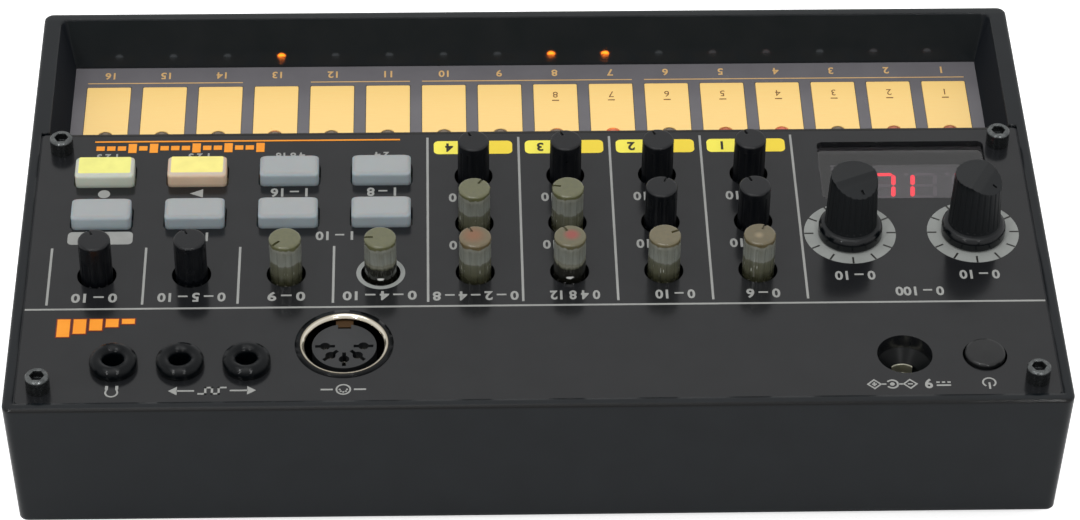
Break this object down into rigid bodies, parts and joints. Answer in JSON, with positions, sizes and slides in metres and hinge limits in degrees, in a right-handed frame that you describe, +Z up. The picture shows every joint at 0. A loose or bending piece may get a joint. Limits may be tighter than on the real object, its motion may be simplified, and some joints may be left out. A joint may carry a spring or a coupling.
{
  "type": "drum machine",
  "caption": "Compact tabletop drum machine with a sunk touch strip, turning knobs and dials, push buttons, sockets along the back and a sliding battery cover.",
  "frame": {"origin": "on the surface that the rubber feet stand on, under the middle of the case", "axes": "+Z up; +Y to the back, where the sockets are; +X to the player's right"},
  "size_m": [0.193, 0.115, 0.046],
  "materials": {
    "case_black": "glossy moulded",
    "panel_satin": "fine satin",
    "strip_grey": "smooth",
    "pad_gold": "satin",
    "step_light": "clear lens",
    "smoke": "smoked",
    "display_black": "matt",
    "board_green": "solder mask",
    "part_black": "moulded",
    "lamp_white": "clear",
    "screw_black": "black oxide",
    "screw_zinc": "zinc",
    "foot_rubber": "soft",
    "socket_black": "glossy",
    "ring_chrome": "polished",
    "insert_grey": "matt",
    "contact_metal": "plated",
    "shaft_metal": "turned",
    "knob_black": "soft satin",
    "knob_clear": "translucent olive",
    "key_clear": "translucent grey",
    "key_lit": "translucent, lit",
    "speaker_black": "paper and steel"
  },
  "bodies": {
    "case": {"case_shell": "case_black", "base_plate": "case_black", "battery_contacts": "contact_metal", "rubber_feet": "foot_rubber", "base_screws": "screw_zinc", "control_panel": "panel_satin", "panel_screws": "screw_black", "touch_overlay": "strip_grey", "touch_pads": "pad_gold", "step_lights": "step_light", "touch_board": "board_green", "main_board": "board_green", "board_link": "part_black", "display_window": "smoke", "display_module": "display_black", "speaker": "speaker_black", "knob_pots": "part_black", "knob_lamps": "lamp_white", "dial_pots": "part_black", "key_switches": "part_black", "headphone_jack": "socket_black", "sync_out_jack": "socket_black", "sync_in_jack": "socket_black", "din_boss": "socket_black", "din_shell": "ring_chrome", "din_insert": "insert_grey", "din_contacts": "contact_metal", "power_inlet": "part_black", "inlet_contacts": "contact_metal", "power_switch": "part_black"},
    "volume_knob": {"volume_knob": "knob_black"},
    "level_knob": {"level_knob": "knob_black"},
    "tempo_knob": {"tempo_knob": "knob_clear"},
    "speed_knob": {"speed_knob": "knob_clear"},
    "hat_back_knob": {"hat_back_knob": "knob_clear"},
    "hat_middle_knob": {"hat_middle_knob": "knob_clear"},
    "hat_front_knob": {"hat_front_knob": "knob_black"},
    "tom_back_knob": {"tom_back_knob": "knob_clear"},
    "tom_middle_knob": {"tom_middle_knob": "knob_clear"},
    "tom_front_knob": {"tom_front_knob": "knob_black"},
    "snare_back_knob": {"snare_back_knob": "knob_clear"},
    "snare_middle_knob": {"snare_middle_knob": "knob_black"},
    "snare_front_knob": {"snare_front_knob": "knob_black"},
    "kick_back_knob": {"kick_back_knob": "knob_clear"},
    "kick_middle_knob": {"kick_middle_knob": "knob_black"},
    "kick_front_knob": {"kick_front_knob": "knob_black"},
    "depth_dial": {"depth_dial": "knob_black", "depth_shaft": "shaft_metal"},
    "time_dial": {"time_dial": "knob_black", "time_shaft": "shaft_metal"},
    "function_button": {"function_button": "key_clear"},
    "mute_button": {"mute_button": "key_clear"},
    "part_down_button": {"part_down_button": "key_clear"},
    "part_up_button": {"part_up_button": "key_clear"},
    "record_button": {"record_button": "key_lit"},
    "play_button": {"play_button": "key_lit"},
    "step_button": {"step_button": "key_clear"},
    "memory_button": {"memory_button": "key_clear"},
    "power_button": {"power_button": "part_black"},
    "battery_cover": {"battery_cover": "case_black"}
  },
  "joints": [
    {"name": "volume_knob_turn", "type": "hinge", "parent": "case", "child": "volume_knob", "pos_m": [0.08151, 0.02095, 0.03175], "axis": [0, 0, -1], "range_deg": [-310, 0]},
    {"name": "level_knob_turn", "type": "hinge", "parent": "case", "child": "level_knob", "pos_m": [0.06394, 0.02095, 0.03175], "axis": [0, 0, -1], "range_deg": [-310, 0]},
    {"name": "tempo_knob_turn", "type": "hinge", "parent": "case", "child": "tempo_knob", "pos_m": [0.04636, 0.02095, 0.03175], "axis": [0, 0, -1], "range_deg": [-201.5, 108.5]},
    {"name": "speed_knob_turn", "type": "hinge", "parent": "case", "child": "speed_knob", "pos_m": [0.02879, 0.02095, 0.03175], "axis": [0, 0, -1], "range_deg": [-244.9, 65.1]},
    {"name": "hat_back_knob_turn", "type": "hinge", "parent": "case", "child": "hat_back_knob", "pos_m": [0.01121, 0.02095, 0.03175], "axis": [0, 0, -1], "range_deg": [-310, 0]},
    {"name": "hat_middle_knob_turn", "type": "hinge", "parent": "case", "child": "hat_middle_knob", "pos_m": [0.01121, 0.00715, 0.03175], "axis": [0, 0, -1], "range_deg": [-9.3, 300.7]},
    {"name": "hat_front_knob_turn", "type": "hinge", "parent": "case", "child": "hat_front_knob", "pos_m": [0.01121, -0.00665, 0.03175], "axis": [0, 0, -1], "range_deg": [-310, 0]},
    {"name": "tom_back_knob_turn", "type": "hinge", "parent": "case", "child": "tom_back_knob", "pos_m": [-0.00636, 0.02095, 0.03175], "axis": [0, 0, -1], "range_deg": [-310, 0]},
    {"name": "tom_middle_knob_turn", "type": "hinge", "parent": "case", "child": "tom_middle_knob", "pos_m": [-0.00636, 0.00715, 0.03175], "axis": [0, 0, -1], "range_deg": [-254.2, 55.8]},
    {"name": "tom_front_knob_turn", "type": "hinge", "parent": "case", "child": "tom_front_knob", "pos_m": [-0.00636, -0.00665, 0.03175], "axis": [0, 0, -1], "range_deg": [-310, 0]},
    {"name": "snare_back_knob_turn", "type": "hinge", "parent": "case", "child": "snare_back_knob", "pos_m": [-0.02394, 0.02095, 0.03175], "axis": [0, 0, -1], "range_deg": [-40.3, 269.7]},
    {"name": "snare_middle_knob_turn", "type": "hinge", "parent": "case", "child": "snare_middle_knob", "pos_m": [-0.02394, 0.00715, 0.03175], "axis": [0, 0, -1], "range_deg": [0, 310]},
    {"name": "snare_front_knob_turn", "type": "hinge", "parent": "case", "child": "snare_front_knob", "pos_m": [-0.02394, -0.00665, 0.03175], "axis": [0, 0, -1], "range_deg": [-310, 0]},
    {"name": "kick_back_knob_turn", "type": "hinge", "parent": "case", "child": "kick_back_knob", "pos_m": [-0.04151, 0.02095, 0.03175], "axis": [0, 0, -1], "range_deg": [0, 310]},
    {"name": "kick_middle_knob_turn", "type": "hinge", "parent": "case", "child": "kick_middle_knob", "pos_m": [-0.04151, 0.00715, 0.03175], "axis": [0, 0, -1], "range_deg": [-310, 0]},
    {"name": "kick_front_knob_turn", "type": "hinge", "parent": "case", "child": "kick_front_knob", "pos_m": [-0.04151, -0.00665, 0.03175], "axis": [0, 0, -1], "range_deg": [-310, 0]},
    {"name": "depth_dial_turn", "type": "hinge", "parent": "case", "child": "depth_dial", "pos_m": [-0.05955, 0.0109, 0.03175], "axis": [0, 0, -1], "range_deg": [-130.2, 179.8]},
    {"name": "time_dial_turn", "type": "hinge", "parent": "case", "child": "time_dial", "pos_m": [-0.0828, 0.0109, 0.03175], "axis": [0, 0, -1], "range_deg": [-93, 217]},
    {"name": "function_button_press", "type": "slide", "parent": "case", "child": "function_button", "axis": [0, 0, -1], "range_m": [0, 0.0007], "stiffness_N_per_m": 200, "springref_m": -0.002},
    {"name": "mute_button_press", "type": "slide", "parent": "case", "child": "mute_button", "axis": [0, 0, -1], "range_m": [0, 0.0007], "stiffness_N_per_m": 200, "springref_m": -0.002},
    {"name": "part_down_button_press", "type": "slide", "parent": "case", "child": "part_down_button", "axis": [0, 0, -1], "range_m": [0, 0.0007], "stiffness_N_per_m": 200, "springref_m": -0.002},
    {"name": "part_up_button_press", "type": "slide", "parent": "case", "child": "part_up_button", "axis": [0, 0, -1], "range_m": [0, 0.0007], "stiffness_N_per_m": 200, "springref_m": -0.002},
    {"name": "record_button_press", "type": "slide", "parent": "case", "child": "record_button", "axis": [0, 0, -1], "range_m": [0, 0.0007], "stiffness_N_per_m": 200, "springref_m": -0.002},
    {"name": "play_button_press", "type": "slide", "parent": "case", "child": "play_button", "axis": [0, 0, -1], "range_m": [0, 0.0007], "stiffness_N_per_m": 200, "springref_m": -0.002},
    {"name": "step_button_press", "type": "slide", "parent": "case", "child": "step_button", "axis": [0, 0, -1], "range_m": [0, 0.0007], "stiffness_N_per_m": 200, "springref_m": -0.002},
    {"name": "memory_button_press", "type": "slide", "parent": "case", "child": "memory_button", "axis": [0, 0, -1], "range_m": [0, 0.0007], "stiffness_N_per_m": 200, "springref_m": -0.002},
    {"name": "power_button_press", "type": "slide", "parent": "case", "child": "power_button", "axis": [0, 0, -1], "range_m": [0, 0.0015], "stiffness_N_per_m": 200, "springref_m": -0.002},
    {"name": "battery_cover_slide", "type": "slide", "parent": "case", "child": "battery_cover", "axis": [0, 1, 0], "range_m": [0, 0.036]}
  ]
}
